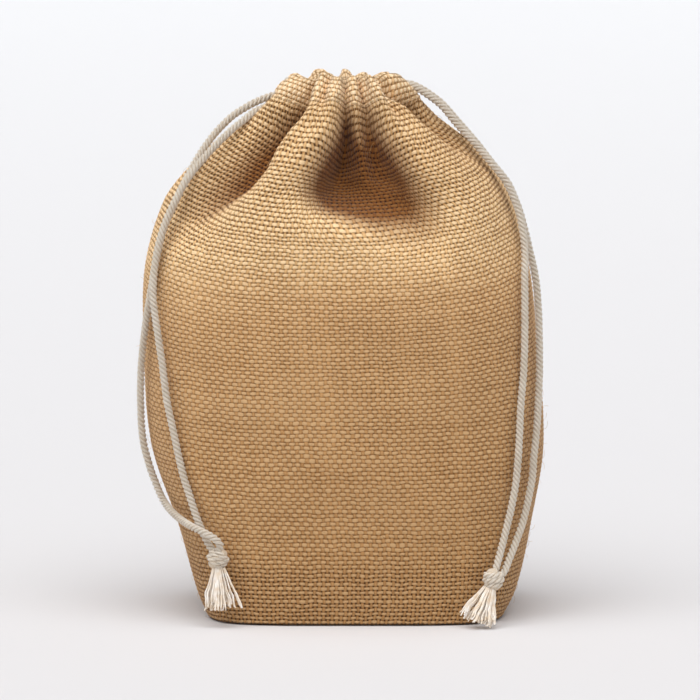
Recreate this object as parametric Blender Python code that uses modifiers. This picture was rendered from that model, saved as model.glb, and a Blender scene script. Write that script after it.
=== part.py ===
"""Drawstring gift pouch of jute cloth with two knotted cotton cords.

Frame: origin at the centre of the base, +Z up, the front faces -Y. Metres.
"""

import math

import bmesh
import bpy
from mathutils import Matrix, Vector

# ---------------------------------------------------------------- driving sizes
CLOTH = 0.0016            # jute cloth with its loose pile
GAP = 0.0003              # clearance between touching pieces
PANEL_TOP = 0.1905        # height where the panels pass into the casings
PLEAT_DEPTH = 0.0016      # in and out of the gathers at the top of the panels
PLEATS = 10               # gathers all round
PLEAT_START = 0.145       # height where the gathers begin

# Sections of the pouch: height, half width, half depth, squareness, lean to +X.
SECTIONS = (
    (0.0000, 0.0565, 0.0490, 5.0, 0.0046),
    (0.0100, 0.0615, 0.0500, 4.2, 0.0050),
    (0.0340, 0.0680, 0.0503, 3.4, 0.0044),
    (0.0650, 0.0755, 0.0500, 2.9, 0.0016),
    (0.1070, 0.0755, 0.0495, 2.7, -0.0013),
    (0.1340, 0.0735, 0.0480, 2.5, -0.0024),
    (0.1580, 0.0662, 0.0440, 2.3, -0.0020),
    (0.1730, 0.0556, 0.0385, 2.2, -0.0002),
    (0.1850, 0.0430, 0.0310, 2.1, 0.0008),
    (0.1905, 0.0365, 0.0270, 2.0, 0.0011),
)
PANEL_ROWS = 15
PANEL_COLUMNS = 34

# The casing: the hem folded over the cords. Points are distance from the axis and height.
CASING_FOLD = (
    (0.0318, 0.1922),
    (0.0306, 0.1962),
    (0.0272, 0.2012),
    (0.0228, 0.2052),
    (0.0182, 0.2070),
    (0.0158, 0.2050),
    (0.0170, 0.2008),
    (0.0212, 0.1962),
    (0.0290, 0.1922),
)
CASING_CLOTH = 0.0013
CASING_DEPTH_SHARE = 0.80     # depth of the ring against its width
CASING_LEAN = 0.0011
CASING_END = math.radians(15)  # the casing stops this far from the side seams
CASING_COLUMNS = 22
STITCH_THREAD = 0.0008
STITCH_RING = (0.0331, 0.1944)

CORD = 0.0030             # cotton cord
# Rings that the two cords follow inside the casings: distance from the axis and height.
LEFT_CORD_RING = (0.0248, 0.1978)
RIGHT_CORD_RING = (0.0209, 0.2025)
RUN_TURN = math.radians(0.5)   # a cord's two runs meet this close to the far side seam
RUN_POINTS = 22
STRAND_POINTS = 46

LEFT_FRONT_ROUTE = (
    (-0.0252, -0.0030, 0.1966), (-0.0296, -0.0042, 0.1942), (-0.0338, -0.0062, 0.1926),
    (-0.0376, -0.0088, 0.1898), (-0.0436, -0.0122, 0.1851), (-0.0513, -0.0164, 0.1777),
    (-0.0592, -0.0214, 0.1684), (-0.0646, -0.0249, 0.1588), (-0.0687, -0.0268, 0.1490),
    (-0.0715, -0.0286, 0.1372), (-0.0724, -0.0304, 0.1240), (-0.0708, -0.0324, 0.1112),
    (-0.0688, -0.0341, 0.0980),
    (-0.0671, -0.0353, 0.0846), (-0.0646, -0.0372, 0.0730), (-0.0613, -0.0389, 0.0580),
    (-0.0582, -0.0405, 0.0480), (-0.0556, -0.0422, 0.0402), (-0.0533, -0.0444, 0.0350),
    (-0.0514, -0.0466, 0.0314),
)
LEFT_BACK_ROUTE = (
    (-0.0252, 0.0012, 0.1984), (-0.0300, 0.0000, 0.1971), (-0.0368, -0.0017, 0.1940),
    (-0.0437, -0.0034, 0.1894), (-0.0512, -0.0072, 0.1815), (-0.0580, -0.0135, 0.1712),
    (-0.0644, -0.0214, 0.1584), (-0.0686, -0.0233, 0.1486), (-0.0713, -0.0248, 0.1375),
    (-0.0732, -0.0252, 0.1262), (-0.0755, -0.0232, 0.1120), (-0.0772, -0.0195, 0.0963),
    (-0.0776, -0.0176, 0.0825), (-0.0770, -0.0166, 0.0690), (-0.0750, -0.0168, 0.0594),
    (-0.0720, -0.0182, 0.0508), (-0.0690, -0.0224, 0.0446), (-0.0655, -0.0302, 0.0412),
    (-0.0614, -0.0386, 0.0390), (-0.0572, -0.0466, 0.0376), (-0.0522, -0.0508, 0.0358),
    (-0.0482, -0.0516, 0.0334), (-0.0467, -0.0512, 0.0312),
)
RIGHT_FRONT_ROUTE = (
    (0.0226, -0.0024, 0.2024), (0.0268, -0.0030, 0.2018), (0.0322, -0.0042, 0.1988),
    (0.0378, -0.0055, 0.1945), (0.0442, -0.0078, 0.1870), (0.0503, -0.0108, 0.1806),
    (0.0569, -0.0142, 0.1730), (0.0621, -0.0152, 0.1667), (0.0651, -0.0161, 0.1606),
    (0.0676, -0.0178, 0.1530), (0.0692, -0.0206, 0.1420), (0.0692, -0.0256, 0.1315),
    (0.0692, -0.0300, 0.1111), (0.0688, -0.0328, 0.0967), (0.0676, -0.0356, 0.0823),
    (0.0669, -0.0380, 0.0674), (0.0658, -0.0397, 0.0541), (0.0638, -0.0413, 0.0434),
    (0.0617, -0.0433, 0.0350), (0.0598, -0.0462, 0.0280), (0.0583, -0.0490, 0.0230),
)
RIGHT_BACK_ROUTE = (
    (0.0226, 0.0016, 0.2026), (0.0268, 0.0010, 0.2021), (0.0323, 0.0001, 0.1992),
    (0.0380, -0.0013, 0.1949), (0.0448, -0.0039, 0.1874), (0.0508, -0.0070, 0.1807),
    (0.0572, -0.0106, 0.1727), (0.0624, -0.0116, 0.1664), (0.0655, -0.0124, 0.1602),
    (0.0683, -0.0136, 0.1522), (0.0713, -0.0146, 0.1400), (0.0735, -0.0158, 0.1300),
    (0.0745, -0.0175, 0.1197), (0.0749, -0.0200, 0.1098), (0.0750, -0.0230, 0.0955),
    (0.0746, -0.0264, 0.0847), (0.0739, -0.0297, 0.0738), (0.0728, -0.0322, 0.0632),
    (0.0719, -0.0338, 0.0534), (0.0690, -0.0374, 0.0402), (0.0660, -0.0414, 0.0318),
    (0.0632, -0.0448, 0.0252), (0.0611, -0.0479, 0.0206),
)

KNOT_HALF = (0.0044, 0.0038, 0.0038)
LEFT_KNOT_AT = (-0.0476, -0.0497, 0.0260)
LEFT_KNOT_TILT = math.radians(35)
RIGHT_KNOT_AT = (0.0571, -0.0502, 0.0182)
RIGHT_KNOT_TILT = math.radians(-10)
TASSEL_TOP_RADIUS = 0.0022
TASSEL_END_RADIUS = 0.0070
TASSEL_FLATNESS = 0.45
TASSEL_SIDES = 14
LEFT_TASSEL = ((-0.0473, -0.0506, 0.0215), (-0.0462, -0.0535, 0.0062))
RIGHT_TASSEL = ((0.0556, -0.0513, 0.0138), (0.0508, -0.0565, 0.0033))

SEAM_THICKNESS = 0.0020   # two turned-in edges and the thread through them
SEAM_WIDTH = 0.0058
SIDE_SEAM_CLEARANCE = 0.0013
SIDE_SEAM_BOTTOM = 0.0062
SIDE_SEAM_TOP = 0.1800
SIDE_SEAM_STEPS = 18
BASE_SEAM_SPAN = (-0.0426, 0.0523)
CORNER_SEAM_HALF_LENGTH = 0.0260
LEFT_CORNER_SEAM_X = -0.0460
RIGHT_CORNER_SEAM_X = 0.0557

JUTE = (0.53, 0.36, 0.19)
JUTE_DARK = (0.42, 0.27, 0.13)
COTTON = (0.82, 0.77, 0.70)


# ---------------------------------------------------------------- helpers
def clear_scene():
    """Start from an empty scene."""
    for old in list(bpy.data.objects):
        bpy.data.objects.remove(old, do_unlink=True)


def new_collection(name):
    """A collection in the scene."""
    collection = bpy.data.collections.new(name)
    bpy.context.scene.collection.children.link(collection)
    return collection


def material(name, colour, roughness):
    """A plain Principled finish."""
    made = bpy.data.materials.new(name)
    made.use_nodes = True
    shader = made.node_tree.nodes["Principled BSDF"]
    shader.inputs["Base Color"].default_value = (*colour, 1.0)
    shader.inputs["Roughness"].default_value = roughness
    shader.inputs["Metallic"].default_value = 0.0
    return made


def add_object(name, data, finish, parent=None):
    """Place a mesh or curve in the pouch's collection."""
    made = bpy.data.objects.new(name, data)
    POUCH.objects.link(made)
    data.materials.append(finish)
    if parent is not None:
        made.parent = parent
        made.matrix_parent_inverse = parent.matrix_world.inverted()
    return made


def joint_empty(name, place):
    """An empty on a joint's axis, for the pieces that move with it."""
    empty = bpy.data.objects.new(name, None)
    POUCH.objects.link(empty)
    empty.matrix_world = Matrix.Translation(place)
    return empty


def section_at(height):
    """Half width, half depth, squareness and lean at a height, on a smooth curve."""
    last = len(SECTIONS) - 1
    index = max(i for i in range(last) if SECTIONS[i][0] <= height + 1e-9)
    low, high = SECTIONS[index], SECTIONS[index + 1]
    before, after = SECTIONS[max(index - 1, 0)], SECTIONS[min(index + 2, last)]
    span = high[0] - low[0]
    t = (height - low[0]) / span
    values = []
    for k in range(1, 5):
        slope_low = (high[k] - before[k]) / (high[0] - before[0])
        slope_high = (after[k] - low[k]) / (after[0] - low[0])
        values.append((2 * t**3 - 3 * t**2 + 1) * low[k] + (t**3 - 2 * t**2 + t) * span * slope_low
                      + (3 * t**2 - 2 * t**3) * high[k] + (t**3 - t**2) * span * slope_high)
    return values


def wall_point(height, angle):
    """A point on the outside of the pouch, angle 0 at +X."""
    half_width, half_depth, squareness, lean = section_at(height)
    gather = max(0.0, (height - PLEAT_START) / (PANEL_TOP - PLEAT_START))
    swell = PLEAT_DEPTH * gather * (math.cos(PLEATS * (angle - math.pi / 2)) - 1)
    power = 2.0 / squareness
    cosine, sine = math.cos(angle), math.sin(angle)
    x = (half_width + swell) * math.copysign(abs(cosine) ** power, cosine)
    y = (half_depth + swell) * math.copysign(abs(sine) ** power, sine)
    return Vector((lean + x, y, height))


def smooth_route(points, count):
    """Evenly spread points on a smooth curve through a route's own points."""
    knots = [Vector(p) for p in points]
    knots = [2 * knots[0] - knots[1]] + knots + [2 * knots[-1] - knots[-2]]
    dense = []
    for i in range(1, len(knots) - 2):
        a, b, c, d = knots[i - 1:i + 3]
        for step in range(16):
            t = step / 16
            dense.append(0.5 * ((2 * b) + (c - a) * t + (2 * a - 5 * b + 4 * c - d) * t**2
                                + (3 * b - a - 3 * c + d) * t**3))
    dense.append(knots[-2])
    lengths = [0.0]
    for i in range(1, len(dense)):
        lengths.append(lengths[-1] + (dense[i] - dense[i - 1]).length)
    spread = []
    index = 0
    for k in range(count):
        want = lengths[-1] * k / (count - 1)
        while index < len(lengths) - 2 and lengths[index + 1] < want:
            index += 1
        t = (want - lengths[index]) / (lengths[index + 1] - lengths[index])
        spread.append(dense[index].lerp(dense[index + 1], t))
    return spread


def tube(name, points, diameter, finish, parent=None):
    """A cord or thread along a list of points."""
    curve = bpy.data.curves.new(name, "CURVE")
    curve.dimensions = "3D"
    curve.bevel_depth = diameter / 2
    curve.bevel_resolution = 2
    curve.use_fill_caps = True
    spline = curve.splines.new("POLY")
    spline.points.add(len(points) - 1)
    for slot, place in zip(spline.points, points):
        slot.co = (*place, 1.0)
    return add_object(name, curve, finish, parent)


# ---------------------------------------------------------------- cloth
def make_panel(name, first_angle, finish):
    """Half of the pouch from one side seam round to the other, with its half of the base."""
    mesh = bmesh.new()
    side = -1 if first_angle < 0 else 1
    seam_gap = Vector((0, side * GAP / 2, 0))
    rows = []
    for r in range(PANEL_ROWS):
        height = PANEL_TOP * (r / (PANEL_ROWS - 1)) ** 0.85
        row = []
        for c in range(PANEL_COLUMNS + 1):
            place = wall_point(height, first_angle + math.pi * c / PANEL_COLUMNS)
            if c in (0, PANEL_COLUMNS):
                place.y = 0.0
            row.append(mesh.verts.new(place + seam_gap))
        rows.append(row)
    for low, high in zip(rows, rows[1:]):
        for c in range(PANEL_COLUMNS):
            mesh.faces.new((low[c], low[c + 1], high[c + 1], high[c]))
    mesh.faces.new(list(reversed(rows[0])))
    data = bpy.data.meshes.new(name)
    mesh.to_mesh(data)
    mesh.free()
    panel = add_object(name, data, finish)
    wall = panel.modifiers.new("cloth", "SOLIDIFY")
    wall.thickness = CLOTH
    wall.offset = -1
    wall.use_even_offset = True
    wall.use_quality_normals = True
    return panel


def make_casing(name, first_angle, finish, parent):
    """The folded hem round one half of the mouth, open at both ends for the cords."""
    mesh = bmesh.new()
    sweep = math.pi - 2 * CASING_END
    rings = []
    for c in range(CASING_COLUMNS + 1):
        angle = first_angle + CASING_END + sweep * c / CASING_COLUMNS
        ring = []
        for reach, height in CASING_FOLD:
            x = CASING_LEAN + reach * math.cos(angle)
            y = reach * CASING_DEPTH_SHARE * math.sin(angle)
            ring.append(mesh.verts.new((x, y, height)))
        rings.append(ring)
    for near, far in zip(rings, rings[1:]):
        for k in range(len(CASING_FOLD) - 1):
            mesh.faces.new((near[k], far[k], far[k + 1], near[k + 1]))
    data = bpy.data.meshes.new(name)
    mesh.to_mesh(data)
    mesh.free()
    casing = add_object(name, data, finish, parent)
    wall = casing.modifiers.new("cloth", "SOLIDIFY")
    wall.thickness = CASING_CLOTH
    wall.offset = -1
    wall.use_even_offset = True
    return casing


def ring_points(ring, first_angle, start, end, count):
    """Points round half of the mouth on a ring given by its reach and height."""
    reach, height = ring
    places = []
    for k in range(count):
        angle = first_angle + start + (math.pi - start - end) * k / (count - 1)
        y = reach * CASING_DEPTH_SHARE * math.sin(angle)
        places.append((CASING_LEAN + reach * math.cos(angle), y, height))
    return places


def make_side_seam(name, side, finish):
    """The turned-in edges of both panels, standing inwards along a side."""
    outer = []
    for k in range(SIDE_SEAM_STEPS + 1):
        height = SIDE_SEAM_BOTTOM + (SIDE_SEAM_TOP - SIDE_SEAM_BOTTOM) * k / SIDE_SEAM_STEPS
        edge = wall_point(height, 0.0 if side > 0 else math.pi)
        slope = wall_point(height + 0.001, 0.0 if side > 0 else math.pi) - edge
        inwards = Vector((-side * slope.z, 0, side * slope.x)).normalized()
        outer.append((edge + inwards * (CLOTH + SIDE_SEAM_CLEARANCE), inwards))
    outline = [place for place, inwards in outer]
    outline += [place + inwards * SEAM_WIDTH for place, inwards in reversed(outer)]
    curve = bpy.data.curves.new(name, "CURVE")
    curve.dimensions = "2D"
    curve.fill_mode = "BOTH"
    curve.extrude = SEAM_THICKNESS / 2
    spline = curve.splines.new("POLY")
    spline.use_cyclic_u = True
    spline.points.add(len(outline) - 1)
    for slot, place in zip(spline.points, outline):
        slot.co = (place.x, place.z, 0.0, 1.0)
    seam = add_object(name, curve, finish)
    seam.rotation_euler = (math.pi / 2, 0, 0)
    return seam


def make_seam_bar(name, low, high, finish):
    """A straight seam allowance as a softened bar between two corners."""
    size = Vector(high) - Vector(low)
    bpy.ops.mesh.primitive_cube_add(size=1.0, location=(Vector(low) + Vector(high)) / 2)
    bar = bpy.context.object
    bar.name = name
    bar.data.name = name
    bar.data.transform(Matrix.Diagonal((*size, 1.0)))
    bar.data.materials.append(finish)
    for holder in list(bar.users_collection):
        holder.objects.unlink(bar)
    POUCH.objects.link(bar)
    soft = bar.modifiers.new("soft edge", "BEVEL")
    soft.width = 0.0004
    soft.segments = 1
    return bar


# ---------------------------------------------------------------- cord ends
def make_knot(name, place, tilt, finish, parent):
    """The overhand knot that ties two cord ends, as a plump bead."""
    mesh = bmesh.new()
    bmesh.ops.create_uvsphere(mesh, u_segments=16, v_segments=10, radius=1.0)
    data = bpy.data.meshes.new(name)
    mesh.to_mesh(data)
    mesh.free()
    data.transform(Matrix.Diagonal((*KNOT_HALF, 1.0)))
    data.shade_smooth()
    knot = add_object(name, data, finish)
    knot.location = place
    knot.rotation_euler = (0, tilt, 0)
    bpy.context.view_layer.update()
    knot.parent = parent
    knot.matrix_parent_inverse = parent.matrix_world.inverted()
    return knot


def make_tassel(name, ends, finish, parent):
    """The frayed ends below a knot, as a flattened cone."""
    top, bottom = Vector(ends[0]), Vector(ends[1])
    mesh = bmesh.new()
    bmesh.ops.create_cone(mesh, cap_ends=True, segments=TASSEL_SIDES, radius1=TASSEL_END_RADIUS,
                          radius2=TASSEL_TOP_RADIUS, depth=(top - bottom).length)
    data = bpy.data.meshes.new(name)
    mesh.to_mesh(data)
    mesh.free()
    data.transform(Matrix.Diagonal((1.0, TASSEL_FLATNESS, 1.0, 1.0)))
    turn = Vector((0, 0, 1)).rotation_difference((top - bottom).normalized()).to_matrix().to_4x4()
    data.transform(Matrix.Translation((top + bottom) / 2) @ turn)
    return add_object(name, data, finish, parent)


# ---------------------------------------------------------------- assembly
def build():
    """Make every piece of the pouch."""
    jute = material("jute", JUTE, 0.95)
    jute_hem = material("jute_hem", JUTE_DARK, 0.95)
    thread = material("thread", JUTE, 0.8)
    cotton = material("cotton", COTTON, 0.9)

    front_lip = joint_empty("front_lip", (0, 0, PANEL_TOP))
    back_lip = joint_empty("back_lip", (0, 0, PANEL_TOP))
    left_swing = joint_empty("left_swing", LEFT_FRONT_ROUTE[0])
    right_swing = joint_empty("right_swing", RIGHT_FRONT_ROUTE[0])
    left_draw = joint_empty("left_draw", LEFT_KNOT_AT)
    right_draw = joint_empty("right_draw", RIGHT_KNOT_AT)
    left_draw.parent = left_swing
    left_draw.matrix_parent_inverse = left_swing.matrix_world.inverted()
    right_draw.parent = right_swing
    right_draw.matrix_parent_inverse = right_swing.matrix_world.inverted()
    bpy.context.view_layer.update()

    make_panel("front_panel", -math.pi, jute)
    make_panel("back_panel", 0.0, jute)
    make_side_seam("left_side_seam", -1, jute_hem)
    make_side_seam("right_side_seam", 1, jute_hem)
    seam_low = CLOTH + GAP
    half = SEAM_THICKNESS / 2
    make_seam_bar("base_seam", (BASE_SEAM_SPAN[0], -half, seam_low),
                  (BASE_SEAM_SPAN[1], half, seam_low + SEAM_WIDTH), jute_hem)
    for name, x in (("left_corner_seam", LEFT_CORNER_SEAM_X), ("right_corner_seam", RIGHT_CORNER_SEAM_X)):
        make_seam_bar(name, (x - SEAM_WIDTH / 2, -CORNER_SEAM_HALF_LENGTH, seam_low),
                      (x + SEAM_WIDTH / 2, CORNER_SEAM_HALF_LENGTH, seam_low + SEAM_THICKNESS), jute_hem)

    for side, first_angle, lip in (("front", -math.pi, front_lip), ("back", 0.0, back_lip)):
        make_casing(side + "_casing", first_angle, jute_hem, lip)
        stitches = ring_points(STITCH_RING, first_angle, CASING_END, CASING_END, RUN_POINTS)
        tube(side + "_casing_stitching", stitches, STITCH_THREAD, thread, lip)
        # each half of a cord ends at its own side's exit and turns round at the other side
        starts_left = side == "front"
        left_ends = (CASING_END, RUN_TURN) if starts_left else (RUN_TURN, CASING_END)
        right_ends = (left_ends[1], left_ends[0])
        tube("left_cord_" + side + "_run",
             ring_points(LEFT_CORD_RING, first_angle, *left_ends, RUN_POINTS), CORD, cotton, lip)
        tube("right_cord_" + side + "_run",
             ring_points(RIGHT_CORD_RING, first_angle, *right_ends, RUN_POINTS), CORD, cotton, lip)

    for name, route, swing in (("left_front_strand", LEFT_FRONT_ROUTE, left_swing),
                               ("left_back_strand", LEFT_BACK_ROUTE, left_swing),
                               ("right_front_strand", RIGHT_FRONT_ROUTE, right_swing),
                               ("right_back_strand", RIGHT_BACK_ROUTE, right_swing)):
        tube(name, smooth_route(route, STRAND_POINTS), CORD, cotton, swing)

    make_knot("left_knot", LEFT_KNOT_AT, LEFT_KNOT_TILT, cotton, left_draw)
    make_knot("right_knot", RIGHT_KNOT_AT, RIGHT_KNOT_TILT, cotton, right_draw)
    make_tassel("left_tassel", LEFT_TASSEL, cotton, left_draw)
    make_tassel("right_tassel", RIGHT_TASSEL, cotton, right_draw)


clear_scene()
POUCH = new_collection("gift_pouch")
build()
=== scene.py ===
"""Looks of the jute drawstring gift pouch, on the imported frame."""
import math
from functools import partialmethod

import bpy
import numpy as np
from bpy.props import FloatProperty, FloatVectorProperty, IntProperty
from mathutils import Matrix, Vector


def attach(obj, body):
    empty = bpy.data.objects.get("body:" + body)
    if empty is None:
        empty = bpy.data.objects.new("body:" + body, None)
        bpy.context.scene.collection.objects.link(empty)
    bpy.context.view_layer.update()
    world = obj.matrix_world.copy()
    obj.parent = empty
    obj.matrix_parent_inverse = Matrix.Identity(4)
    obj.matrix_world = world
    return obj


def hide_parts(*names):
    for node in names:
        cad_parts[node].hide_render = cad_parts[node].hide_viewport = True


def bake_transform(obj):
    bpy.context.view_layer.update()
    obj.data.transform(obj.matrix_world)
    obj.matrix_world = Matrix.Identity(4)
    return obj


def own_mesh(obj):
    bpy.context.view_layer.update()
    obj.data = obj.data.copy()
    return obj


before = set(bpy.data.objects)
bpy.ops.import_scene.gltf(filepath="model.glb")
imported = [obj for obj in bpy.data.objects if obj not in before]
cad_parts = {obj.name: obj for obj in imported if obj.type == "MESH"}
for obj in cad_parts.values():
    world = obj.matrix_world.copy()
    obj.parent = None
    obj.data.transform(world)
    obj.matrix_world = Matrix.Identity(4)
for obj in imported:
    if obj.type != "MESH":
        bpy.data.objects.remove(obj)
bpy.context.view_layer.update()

bl_info = {
    "name": "Jute gift pouch",
    "version": (1, 0, 0),
    "blender": (4, 5, 0),
    "location": "3D View > Sidebar > Pouch",
    "description": "Builds a gathered jute pouch with two twisted cotton drawcords",
    "category": "Object",
}

# Sections of the pouch: height, half width, half depth, squareness, lean to +X.
SECTIONS = np.array((
    (0.0000, 0.0565, 0.0490, 5.0, 0.0046), (0.0100, 0.0615, 0.0500, 4.2, 0.0050),
    (0.0340, 0.0680, 0.0503, 3.4, 0.0044), (0.0650, 0.0755, 0.0500, 2.9, 0.0016),
    (0.1070, 0.0755, 0.0495, 2.7, -0.0013), (0.1340, 0.0735, 0.0480, 2.5, -0.0024),
    (0.1580, 0.0662, 0.0440, 2.3, -0.0020), (0.1730, 0.0556, 0.0385, 2.2, -0.0002),
    (0.1850, 0.0430, 0.0310, 2.1, 0.0008), (0.1905, 0.0368, 0.0272, 2.0, 0.0011),
    (0.1960, 0.0318, 0.0250, 2.0, 0.0011), (0.2010, 0.0272, 0.0222, 2.0, 0.0011),
    (0.2050, 0.0235, 0.0195, 2.0, 0.0011), (0.2100, 0.0200, 0.0165, 2.0, 0.0011),
))

# Folds of the gathered neck. Each row is height, angle from the middle of the panel,
# depth in millimetres, and reach to the left and right in degrees.
FRONT_FOLDS = (
    ((0.140, -62, 0, 20, 14), (0.150, -54, 3, 20, 11), (0.158, -46, 8, 22, 8),
     (0.166, -40, 12, 25, 7), (0.174, -38, 14, 25, 6), (0.181, -40, 15, 23, 5.5),
     (0.188, -40, 15, 19, 5.5), (0.196, -38, 12, 13, 7), (0.206, -40, 8, 12, 9)),
    ((0.152, 6, 0, 12, 12), (0.159, 2, 2, 12, 12), (0.167, -3, 6, 9, 10), (0.174, -4, 11, 7.5, 6),
     (0.181, -2.5, 14, 7, 5.5), (0.188, -1, 12, 5.5, 4.5), (0.196, -1.5, 6, 5, 4),
     (0.206, -1, 2, 5, 4)),
    ((0.166, 24, 0, 7, 7), (0.174, 23, 6, 7, 6), (0.181, 21.5, 10, 6, 5),
     (0.188, 20, 9, 5.5, 5), (0.196, 18, 6, 4.6, 4.5), (0.206, 16, 4, 4, 4.5)),
    ((0.170, 75, 0, 11, 12), (0.178, 72, 3, 10, 12), (0.184, 68, 7, 9.5, 12),
     (0.190, 65, 10, 9.5, 12),
     (0.196, 60, 10, 10, 12), (0.200, 50, 9, 9, 11), (0.206, 40, 7, 7, 10)),
    ((0.190, 38, 0, 5, 5), (0.196, 37, 4, 5, 4.5), (0.206, 35, 5, 5, 5)),
    ((0.194, -19, 0, 5, 5), (0.200, -19, 4, 5, 5), (0.206, -19, 4, 5, 5)),
)
# The wide hollow in the middle of the front, with a flat floor and steep sides.
FRONT_HOLLOW = ((0.132, 24, 0, 16, 16), (0.141, 22, 1.5, 14, 14), (0.148, 20, 5, 14, 16),
                (0.154, 16, 10, 16, 19),
                (0.160, 11, 14.5, 17, 23), (0.167, 9, 17, 17.5, 21), (0.174, 9, 18, 15, 15),
                (0.181, 9, 15, 12.5, 12),
                (0.188, 8.5, 10, 10, 10), (0.196, 8, 5, 9.5, 9), (0.206, 7, 1.5, 9, 9))
BACK_FOLDS = (
    ((0.150, -62, 0, 20, 20), (0.162, -58, 4, 20, 18), (0.176, -54, 8, 16, 14),
     (0.190, -52, 9, 13, 12), (0.206, -50, 8, 12, 11)),
    ((0.140, -24, 0, 24, 24), (0.156, -22, 5, 22, 22), (0.172, -19, 10, 17, 15),
     (0.188, -17, 12, 12, 11), (0.206, -16, 9, 9, 9)),
    ((0.158, 14, 0, 12, 12), (0.172, 12, 5, 11, 10), (0.188, 11, 9, 8, 8), (0.206, 11, 8, 8, 8)),
    ((0.142, 40, 0, 26, 22), (0.158, 38, 4, 24, 20), (0.174, 36, 9, 18, 15),
     (0.190, 35, 11, 12, 12), (0.206, 34, 9, 10, 10)),
    ((0.160, 68, 0, 14, 14), (0.176, 65, 5, 12, 12), (0.190, 63, 7, 10, 10), (0.206, 62, 6, 9, 9)),
)
SIDE_FOLD = ((0.180, 0, 0, 14, 14), (0.190, 0, 3, 12, 12), (0.206, 0, 6, 12, 12))

# Painted light at each height, from darker near the floor to lighter near the neck.
PAINTED_LIGHT_BY_HEIGHT = np.array(((0.0, 0.0), (0.02, 0.03), (0.05, 0.14), (0.08, 0.24), (0.11, 0.36),
                   (0.125, 0.52),
                   (0.14, 0.88), (0.155, 0.95), (0.175, 0.80), (0.20, 0.80)))

LIP = 0.10                  # swell beside a fold against the fold's depth
STITCH_HEIGHT = 0.1985
HEM_TOP = 0.2060
CREST_ROWS = 5
# Lifts of the hem's top edge: angle, reach, rise in millimetres.
FRONT_TOP = ((-26, 13, 2.6), (8, 5, 0.8), (23, 7, 1.0), (50, 13, 1.2), (-90, 16, -2.5),
             (90, 14, -2.5))
BACK_TOP = ((-34, 13, 1.2), (-4, 9, 0.6), (24, 9, 1.0), (50, 10, 1.0), (-90, 16, -2.5),
            (90, 14, -2.5))


def tenths(route):
    """A route given in tenths of a millimetre, as points in metres."""
    return tuple(tuple(value / 10000 for value in point) for point in route)


# Each cord's way from its exit to its knot.
LEFT_FRONT_ROUTE = tenths((
    (-252, -30, 1966), (-296, -42, 1942), (-338, -62, 1926), (-376, -88, 1898),
    (-436, -122, 1851), (-513, -164, 1777), (-592, -214, 1684), (-646, -249, 1588),
    (-687, -268, 1490), (-715, -286, 1372), (-724, -304, 1240), (-708, -324, 1112),
    (-688, -341, 980), (-671, -353, 846), (-646, -372, 730), (-613, -389, 580),
    (-582, -405, 480), (-556, -422, 402), (-533, -444, 350), (-514, -466, 314),
))
LEFT_BACK_ROUTE = tenths((
    (-252, 12, 1984), (-300, 0, 1971), (-368, -17, 1940), (-437, -34, 1894), (-512, -72, 1815),
    (-580, -135, 1712), (-644, -214, 1584), (-686, -233, 1486), (-713, -248, 1375),
    (-732, -252, 1262), (-755, -232, 1120), (-772, -195, 963), (-776, -176, 825),
    (-770, -166, 690), (-750, -168, 594), (-720, -182, 508), (-690, -224, 446),
    (-655, -302, 412), (-614, -386, 390), (-572, -466, 376), (-522, -508, 358),
    (-482, -516, 334), (-467, -512, 312),
))
RIGHT_FRONT_ROUTE = tenths((
    (226, -24, 2024), (268, -30, 2018), (322, -42, 1988), (378, -55, 1945), (442, -78, 1870),
    (503, -108, 1806), (569, -142, 1730), (621, -152, 1667), (651, -161, 1606),
    (676, -178, 1530), (692, -206, 1420), (692, -256, 1315), (692, -300, 1111),
    (688, -328, 967), (676, -356, 823), (669, -380, 674), (658, -397, 541), (638, -413, 434),
    (617, -433, 350), (598, -462, 280), (583, -490, 230),
))
RIGHT_BACK_ROUTE = tenths((
    (226, 16, 2026), (268, 10, 2021), (323, 1, 1992), (380, -13, 1949), (448, -39, 1874),
    (508, -70, 1807), (572, -106, 1727), (624, -116, 1664), (655, -124, 1602),
    (683, -136, 1522), (713, -146, 1400), (735, -158, 1300), (745, -175, 1197),
    (749, -200, 1098), (750, -230, 955), (746, -264, 847), (739, -297, 738), (728, -322, 632),
    (719, -338, 534), (690, -374, 402), (660, -414, 318), (632, -448, 252), (611, -479, 206),
))
# Each knot's middle, and its tilt in degrees.
LEFT_KNOT = ((-0.0476, -0.0497, 0.0260), 35.0)
RIGHT_KNOT = ((0.0571, -0.0502, 0.0182), -10.0)
# Each tassel's top, tip, and thread length.
LEFT_TASSEL = ((-0.0473, -0.0506, 0.0225), (-0.0462, -0.0535, 0.0062), 0.0158)
RIGHT_TASSEL = ((0.0556, -0.0513, 0.0148), (0.0508, -0.0565, 0.0033), 0.0144)
TASSEL_FLATNESS = 0.45
KNOT_TUCK = 0.0020          # how near a cord's end comes to its knot's middle
# The way each knot slides.
LEFT_DRAW = (-0.36, 0.20, 0.91)
RIGHT_DRAW = (0.34, 0.22, 0.91)

PARTING = 0.00015           # half the slit between the two panels
OWN_SIDE = 0.0001           # the nearest any cloth comes to the middle plane
BASE_DEPTH = 0.049          # half the base, from front to back
HEM_CLOTH = 0.0007
HEM_OUTSIDE = 0.0095        # cloth of the hem above its stitches, outside and inside
HEM_INSIDE = 0.0085
HEM_END = 82                # the hem stops at this angle from the middle
RUN_EXIT, RUN_TURN = 78.0, 88.0   # angles where a cord leaves the hem and where it turns
CORD_STEP = 0.00065         # distance between a cord's rings
KNOT_TURNS, KNOT_HALF_HEIGHT = 2.7, 0.0024
KNOT_CORE = ((-0.0042, 0.0012), (-0.0034, 0.0021), (-0.0012, 0.0024),
             (0.0012, 0.0024), (0.0032, 0.0022), (0.0040, 0.0014))
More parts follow.
